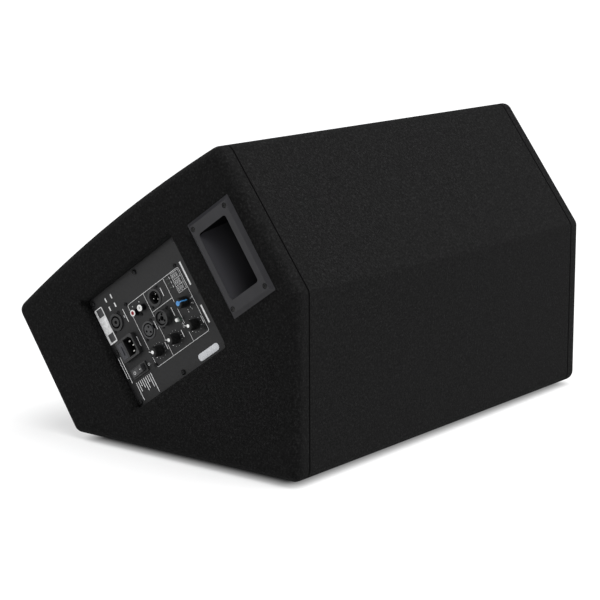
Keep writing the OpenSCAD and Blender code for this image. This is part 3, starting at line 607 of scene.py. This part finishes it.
frame_u, frame_v, corner = (-43.0, 47.9), (-34.6, 73.9), 2.4
for v in frame_v:
    line(frame_u[0] + corner, v, frame_u[1] - corner, v)
for u in frame_u:
    line(u, frame_v[0] + corner, u, frame_v[1] - corner)
for u, v, start in ((frame_u[1] - corner, frame_v[1] - corner, 0), (frame_u[0] + corner, frame_v[1] - corner, 90),
                    (frame_u[0] + corner, frame_v[0] + corner, 180), (frame_u[1] - corner, frame_v[0] + corner, 270)):
    ring_line(u, v, corner, rule, start, 90, 5)
for v in (42.0, -0.6):
    line(frame_u[0], v, frame_u[1], v)
line(-15.1, -0.6, -15.1, 42.0)
for name in ("master_turn", "input_1_turn", "input_2_turn"):
    u, v = plate_spot(joint(name)["pos_m"])
    for k in range(11):
        a = math.radians(90 + 150 - 30 * k)
        if k in (0, 10):
            dot(u + 11.2 * math.cos(a), v + 11.2 * math.sin(a), 0.6)
        else:
            bar(u + 10.4 * math.cos(a), v + 10.4 * math.sin(a), 0.9, 0.32, math.degrees(a))
    bar(u, v + 14.2, 10, 0.9)
u, v = plate_spot(joint("selector_turn")["pos_m"])
for step in (0, 33, 66, 99):
    a = math.radians(90 - step)
    dot(u + 10.6 * math.cos(a), v + 10.6 * math.sin(a), 0.5)
    bar(u + 13.4 * math.cos(a), v + 13.4 * math.sin(a), 2.0, 0.6)

# The chart of settings, with its three columns and four rows of bars.
chart_u, chart_v, row_step = (-41.4, -14.3), (56.4, 71.5), 3.8
for v in chart_v:
    line(chart_u[0], v, chart_u[1], v, 0.4)
for u in (chart_u[0], -32.4, -23.4, chart_u[1]):
    line(u, chart_v[0], u, chart_v[1], 0.4)
for row in range(3):
    line(chart_u[0], 60.2 + row_step * row, chart_u[1], 60.2 + row_step * row, 0.3)
    for u, length in ((-36.9, 5.5), (-27.9, 4.5 + row), (-18.8, 6 - row)):
        bar(u, 58.4 + row_step * row, length, 0.6)

# The lamps' labels, and the bars and small signs beside the sockets, the fuse and the switch.
for u in (-38.2, -32.3, -26.2):
    bar(u, 52.4, 3.6, 0.6)
for u, v, length in ((-29.4, 30.6, 12), (0.3, 32.6, 12), (1.0, -4.8, 12), (-33.7, -45.4, 19), (4.9, -44.4, 14)):
    bar(u, v, length, 0.9)
for u, v in ((-37.5, -13.5), (-37.5, -27.5)):
    bar(u, v, 1.2, 1.4)
ring_line(24.4, 38.6, 1.5, 0.4)
for k, length in enumerate((3.4, 2.2, 1.0)):
    bar(20.6, 39.8 - 1.1 * k, length, 0.4)
ring_line(37.9, -46.2, 1.6, 0.45, 120, 300)
bar(37.9, -44.8, 1.8, 0.45, 90)
bar(-33.7, -48.4, 3.4, 0.9)

# The block of bars under the switch, the pair by the drawer, the two wide ones at the edge and the foot's four.
for k, length in enumerate((27, 18, 9, 16, 18, 12, 8, 14, 25)):
    bar(48.5 + length / 2, -50.6 - 3.9 * k, length, 1.1)
for v, length in ((-88.2, 38), (-92.2, 30)):
    bar(7.5 + length / 2, v, length, 1.1)
bar(-30.5, 80.2, 33, 2.6)
bar(27.4, 80.2, 25, 2.6)
for u in (-66.5, -54):
    for v in (-54, -66):
        bar(u, v, 6, 2)
bmesh.ops.recalc_face_normals(ink, faces=ink.faces)
printing = piece_from(ink, "plate_printing", ink_white)
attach(printing, "cabinet")

# Stickers: a white rounded label at the edge of the plate and a framed one along its foot, both left blank.

label_paper = mottled("label_paper", (0.52, 0.53, 0.55), (0.62, 0.63, 0.65), (0.35, 0.5), 900, 0.00003)


def sticker(name, u, v, width, height, corner, lift, mat):
    """A thin label with rounded corners, centred on (u, v) mm."""
    work = bmesh.new()
    outline = []
    for q, (su, sv) in enumerate(((1, 1), (-1, 1), (-1, -1), (1, -1))):
        for k in range(7):
            a = math.radians(90 * q + 15 * k)
            outline.append((u + su * (width / 2 - corner) + corner * math.cos(a),
                            v + sv * (height / 2 - corner) + corner * math.sin(a)))
    raised(work, [on_plate(a, b, lift) for a, b in outline], [on_plate(a, b, sunk) for a, b in outline])
    bmesh.ops.recalc_face_normals(work, faces=work.faces)
    label = piece_from(work, name, mat)
    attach(label, "cabinet")


label_black = mottled("label_black", (0.02, 0.02, 0.022), (0.035, 0.035, 0.037), (0.4, 0.5), 900, 0.00003)
sticker("edge_label", 70.6, 56.8, 9.5, 40, 4.2, 0.15, label_paper)
sticker("foot_label_border", -38.4, -86.2, 51, 15.6, 1.6, 0.1, ink_white)
sticker("foot_label_left", -57.0, -85.2, 11.4, 10.6, 0.6, 0.13, label_black)
sticker("foot_label_right", -20.6, -85.2, 11.4, 10.6, 0.6, 0.13, label_black)

# Sockets: moulded black connectors set in from behind, a grey-faced microphone input, two phono sockets whose nickel
# sleeves are painted dark along their sides as painted reflection, and nickel-plated contact pins and blades.

for node in ("line_output", "combo_input", "speaker_outlet", "mains_inlet", "switch_frame"):
    dress(moulded_black, node)
    soften(frame["nodes"][node], 0.0003)
dress(mottled("grey_insert", (0.013, 0.013, 0.014), (0.021, 0.021, 0.0225), (0.4, 0.55), 1400, 0.00006), "mic_input")
soften(frame["nodes"]["mic_input"], 0.0003)
# Painted reflection on the phono sleeves: their dark colour stands for nickel reflecting dark surroundings.
dress(mottled("black_nickel", (0.008, 0.008, 0.009), (0.018, 0.018, 0.02), (0.3, 0.45), 900, 0.00004, 0.8),
      "phono_sleeves", "latch_tab")
dress(mottled("nickel", (0.36, 0.355, 0.34), (0.5, 0.49, 0.475), (0.12, 0.28), 800, 0.00003, 1.0), "contact_pins")
dress(mottled("glass_fuse", (0.45, 0.46, 0.46), (0.68, 0.69, 0.68), (0.08, 0.2), 300, 0.00003, 0.6), "fuse")
dress(mottled("drawer_abs", (0.014, 0.0145, 0.019), (0.022, 0.0225, 0.029), (0.4, 0.55), 1600, 0.00006), "fuse_drawer")
soften(frame["nodes"]["fuse_drawer"], 0.0003)

# Phono faces: the turned end of each nickel sleeve, painted a plain light colour as painted reflection, round its
# moulded insulator, which is white in the upper socket and red in the lower one, with a hole for the plug's pin.


def lathe(name, u, v, profile, mat, sides=32):
    """A piece turned about the axis out of the plate at (u, v); its profile is (radius, height) in mm."""
    work = bmesh.new()
    turns = [math.tau * k / sides for k in range(sides)]
    rings = [[work.verts.new(on_plate(u + r * math.cos(t), v + r * math.sin(t), z)) for t in turns] for r, z in profile]
    for a, b in zip(rings, rings[1:]):
        for k in range(sides):
            m = (k + 1) % sides
            work.faces.new((a[k], a[m], b[m], b[k]))
    if profile[0] != profile[-1]:
        for ring in (rings[0], rings[-1]):
            work.faces.new(ring)
    bmesh.ops.remove_doubles(work, verts=work.verts, dist=0.000001)
    bmesh.ops.recalc_face_normals(work, faces=work.faces)
    turned = piece_from(work, name, mat)
    turned.data.shade_smooth()
    turned.data.set_sharp_from_angle(angle=math.radians(35))
    return turned


sleeves_low, sleeves_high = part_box("phono_sleeves")
sleeves_mid = (sleeves_low + sleeves_high) / 2
sleeve_end = (sleeves_high.x - plate_high.x) * 1000
sleeve_flange = 0.0049
upper_step = Vector((0, sleeves_high.y - sleeves_mid.y - sleeve_flange,
                     sleeves_high.z - sleeves_mid.z - sleeve_flange))
# Painted reflection: the sleeve ends take a plain light colour standing for the nickel's reflection of light.
sleeve_end_painted_reflection = mottled("painted_reflection_end", (0.62, 0.62, 0.61), (0.78, 0.78, 0.77), (0.3, 0.45), 900, 0.00003)
for name, way in (("phono_upper_face", 1), ("phono_lower_face", -1)):
    u, v = plate_spot(sleeves_mid + upper_step * way)
    face = lathe(name, u, v, [(r, sleeve_end + z) for r, z in (
        (2.6, -0.2), (2.6, 0.1), (2.8, 0.25), (3.9, 0.25), (4.25, 0.05), (4.25, -0.5), (2.6, -0.2))], sleeve_end_painted_reflection)
    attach(face, "cabinet")
insulator, tree, shader, where = start_finish("insulator_moulding", (0.6, 0.6, 0.6), 0.4)
parts = tree.nodes.new("ShaderNodeSeparateXYZ")
tree.links.new(where, parts.inputs["Vector"])
upper = calc(tree, "GREATER_THAN", parts.outputs["Z"], sleeves_mid.z)
tree.links.new(ramp(tree, upper, [(0.3, (0.3, 0.008, 0.016)), (0.7, (0.66, 0.66, 0.64))]), shader.inputs["Base Color"])
bump(tree, shader, noise(tree, where, 900), 0.3, 0.00003)
dress(insulator, "phono_insulators")

# Knobs: knurled black caps on potentiometer shafts, with a white dot and a short pointer on top, both blue on the
# selector, whose pointer also runs down its side; the bodies of the controls sit on the board behind.

knob_black = mottled("knob_black", (0.002, 0.002, 0.002), (0.006, 0.006, 0.006), (0.5, 0.65), 1500, 0.00005)
pointer_white = mottled("pointer_white", (0.7, 0.7, 0.69), (0.85, 0.85, 0.84), (0.35, 0.5), 900, 0.00003)
pointer_blue = mottled("pointer_blue", (0.03, 0.16, 0.42), (0.08, 0.34, 0.68), (0.3, 0.45), 900, 0.00003)
knob_black.node_tree.nodes["Principled BSDF"].inputs["Specular IOR Level"].default_value = 0.25
dress(knob_black, "selector_knob", "master_knob", "input_1_knob", "input_2_knob")
dress(mottled("control_cans", (0.06, 0.09, 0.075), (0.11, 0.14, 0.12), (0.4, 0.5), 700, 0.00005), "control_bodies")
knob_top = (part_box("master_knob")[1].x - plate_high.x) * 1000
knob_radius = 7.0
cube_faces = ((0, 1, 3, 2), (4, 6, 7, 5), (0, 4, 5, 1), (2, 3, 7, 6), (0, 2, 6, 4), (1, 5, 7, 3))
for name, clock, paint, dot_radius in (("selector", 0, pointer_blue, 3.2), ("master", 210, pointer_white, 2.3),
                                       ("input_1", 210, pointer_white, 2.3), ("input_2", 210, pointer_white, 2.3)):
    u, v = plate_spot(joint(name + "_turn")["pos_m"])
    cap = lathe(name + "_cap", u, v, [(dot_radius, knob_top - 1), (dot_radius, knob_top + 0.1),
                                      (dot_radius - 0.3, knob_top + 0.3), (0.2, knob_top + 0.3)], paint)
    work = bmesh.new()
    work.from_mesh(cap.data)
    a = math.radians(90 - clock)
    out = (math.cos(a), math.sin(a))
    rim = (-math.sin(a), math.cos(a))

    def spoke(r, w, z):
        return on_plate(u + r * out[0] + w * rim[0], v + r * out[1] + w * rim[1], z)

    stripes = [(dot_radius - 0.5, knob_radius - 0.9, knob_top - 0.6, knob_top + 0.3)]
    if paint is pointer_blue:
        stripes.append((knob_radius - 1.3, knob_radius + 0.15, 2.9, knob_top + 0.1))
    half_wide = 0.75 if paint is pointer_blue else 0.3
    for r0, r1, z0, z1 in stripes:
        corners = [work.verts.new(spoke(r, w, z))
                   for r in (r0, r1) for w in (-half_wide, half_wide) for z in (z0, z1)]
        for face in cube_faces:
            work.faces.new([corners[k] for k in face])
    bmesh.ops.recalc_face_normals(work, faces=work.faces)
    work.to_mesh(cap.data)
    work.free()
    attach(cap, name + "_knob")

# Push button and lamps: a glossy white plunger, and three small lenses set flush in the plate.

dress(mottled("button_white", (0.74, 0.74, 0.72), (0.84, 0.84, 0.82), (0.2, 0.35), 700, 0.00003), "push_button")
dress(mottled("smoked_lens", (0.012, 0.016, 0.012), (0.03, 0.04, 0.03), (0.08, 0.2), 600, 0.00002), "indicator_leds")

# Mains switch: a black rocker in a snap-in frame, its surface printed with a line and a ring.

dress(mottled("rocker_skin", (0.016, 0.016, 0.017), (0.024, 0.024, 0.0255), (0.3, 0.45), 1200, 0.00004), "rocker")
soften(frame["nodes"]["rocker"], 0.0004)
pivot = Vector(joint("rocker_tilt")["pos_m"])
tilt = Matrix.Rotation(math.radians(8), 4, down_end)
face_height, face_rise, half_length = 5.6, 2.0, 11.5
work = bmesh.new()


def on_rocker(u, v, lift):
    """Point on the rocker's face, in mm from its pivot: the face rises evenly to both ends, and rests tilted."""
    height = face_height + abs(v) * face_rise / half_length + lift
    return pivot + tilt @ ((down_end * u + up_end * v + Vector((1, 0, 0)) * height) / 1000)


def rocker_patch(points):
    raised(work, [on_rocker(u, v, ink_lift) for u, v in points], [on_rocker(u, v, sunk) for u, v in points])


rocker_patch([(-0.35, 4.6), (0.35, 4.6), (0.35, 8.2), (-0.35, 8.2)])
for k in range(16):
    a, b = math.tau * k / 16, math.tau * (k + 1) / 16
    rocker_patch([(r * math.cos(t), -6.8 + r * math.sin(t)) for r, t in ((1.5, a), (2.1, a), (2.1, b), (1.5, b))])
bmesh.ops.recalc_face_normals(work, faces=work.faces)
rocker_marks = piece_from(work, "rocker_marks", ink_white)
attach(rocker_marks, "rocker")

# Studio: a wide pale floor whose own glow is painted light that lightens the shadows on it, the glow fading out under
# the box as a painted contact shadow, in a white surround that is dimmed for what it lights, a broad soft light from
# above, and two large lamps for the rear and the amplifier end.

bpy.context.scene.view_settings.view_transform = "Standard"
floor_mat, tree, shader, where = start_finish("floor_glow_painted_shadow", (0.3, 0.3, 0.3), 0.9)
tree.links.new(ramp(tree, noise(tree, where, 3, 2, 0.5), [(0.3, (0.295, 0.295, 0.295)), (0.7, (0.305, 0.305, 0.305))]),
               shader.inputs["Base Color"])
shader.inputs["Specular IOR Level"].default_value = 0.1
# Painted light: the floor glows, lightening the shadows cast on it.
shader.inputs["Emission Color"].default_value = (1, 1, 1, 1)
bottom_low, bottom_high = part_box("bottom_panel")
stand_mid = Vector((0, (bottom_low.y + bottom_high.y) / 2, 0))
# Painted contact shadow: the floor's glow is cut out over the box's footprint, less the insets, and fades back in just
# outside.
inset_x, inset_y, painted_shadow_fade, glow_strength = 0.036, 0.033, 0.04, 0.62
painted_shadow_half = Vector((cad_high.x - inset_x, (bottom_high.y - bottom_low.y) / 2 - inset_y, 9))
from_stand = vector_calc(tree, "ABSOLUTE", vector_calc(tree, "SUBTRACT", where, stand_mid))
past_stand = vector_calc(tree, "MAXIMUM", vector_calc(tree, "SUBTRACT", from_stand, painted_shadow_half), (0, 0, 0))
glow = tree.nodes.new("ShaderNodeMapRange")
glow.interpolation_type = "SMOOTHSTEP"
glow.inputs["From Max"].default_value = painted_shadow_fade
glow.inputs["To Max"].default_value = glow_strength
tree.links.new(vector_calc(tree, "LENGTH", past_stand), glow.inputs["Value"])
tree.links.new(glow.outputs["Result"], shader.inputs["Emission Strength"])
table_half = 12
floor_mesh = bpy.data.meshes.new("studio_floor")
floor_mesh.from_pydata([(x * table_half, y * table_half, cad_low.z) for x, y in ((-1, -1), (1, -1), (1, 1), (-1, 1))],
                       [], [(0, 1, 2, 3)])
floor_mesh.materials.append(floor_mat)
studio_floor = placed(floor_mesh)

world = bpy.data.worlds.new("pale_surround")
world.use_nodes = True
sky = world.node_tree
seen = sky.nodes["Background"]
seen.inputs["Color"].default_value = (1, 1, 1, 1)
seen.inputs["Strength"].default_value = 1.0
lighting = sky.nodes.new("ShaderNodeBackground")
lighting.inputs["Color"].default_value = (0.95, 0.97, 1, 1)
lighting.inputs["Strength"].default_value = 0.32
which = sky.nodes.new("ShaderNodeLightPath")
either = sky.nodes.new("ShaderNodeMixShader")
sky.links.new(which.outputs["Is Camera Ray"], either.inputs["Fac"])
sky.links.new(lighting.outputs["Background"], either.inputs[1])
sky.links.new(seen.outputs["Background"], either.inputs[2])
sky.links.new(either.outputs["Shader"], sky.nodes["World Output"].inputs["Surface"])
bpy.context.scene.world = world


def soft_light(name, kind, spot, aim, power):
    """A light that shines from spot towards aim; its size is set on the returned data."""
    light = bpy.data.lights.new(name, kind)
    light.energy = power
    lamp = bpy.data.objects.new(name, light)
    lamp.location = spot
    lamp.rotation_euler = (Vector(aim) - Vector(spot)).to_track_quat("-Z", "Y").to_euler()
    bpy.context.scene.collection.objects.link(lamp)
    return light


heart = (0, 0, cad_high.z / 2)
soft_light("ceiling_glow", "SUN", (-0.15, 0.6, 2.4), heart, 4.8).angle = math.radians(60)
for name, spot, size, power in (("rear_panel", (-0.8, 2.8, 1.6), 1.6, 24),
                                ("end_panel", (2.6, -1.6, 1.0), 1.4, 19)):
    soft_light(name, "AREA", spot, heart, power).size = size

# Camera: a long lens a little above the object, turned to its amplifier end and rear.

azimuth, elevation, roll = (math.radians(a) for a in (128.49, 11.83, -0.24))
back = Vector((math.sin(azimuth) * math.cos(elevation), -math.cos(azimuth) * math.cos(elevation),
               math.sin(elevation)))
side = Vector((0, 0, 1)).cross(back).normalized()
top = back.cross(side)
camera_data = bpy.data.cameras.new("studio_camera")
camera_data.sensor_width = 36
camera_data.lens = 110.81
camera = bpy.data.objects.new("studio_camera", camera_data)
distance, shift_side, shift_down = 2.634, 0.0146, 0.0808
look = Vector((0, cad_high.y - 0.2792, cad_low.z + 0.2303))
stand = look + back * distance + side * shift_side - top * shift_down
facing = Matrix((side, top, back)).transposed().to_4x4() @ Matrix.Rotation(roll, 4, "Z")
camera.matrix_world = Matrix.Translation(stand) @ facing
bpy.context.scene.collection.objects.link(camera)
bpy.context.scene.camera = camera
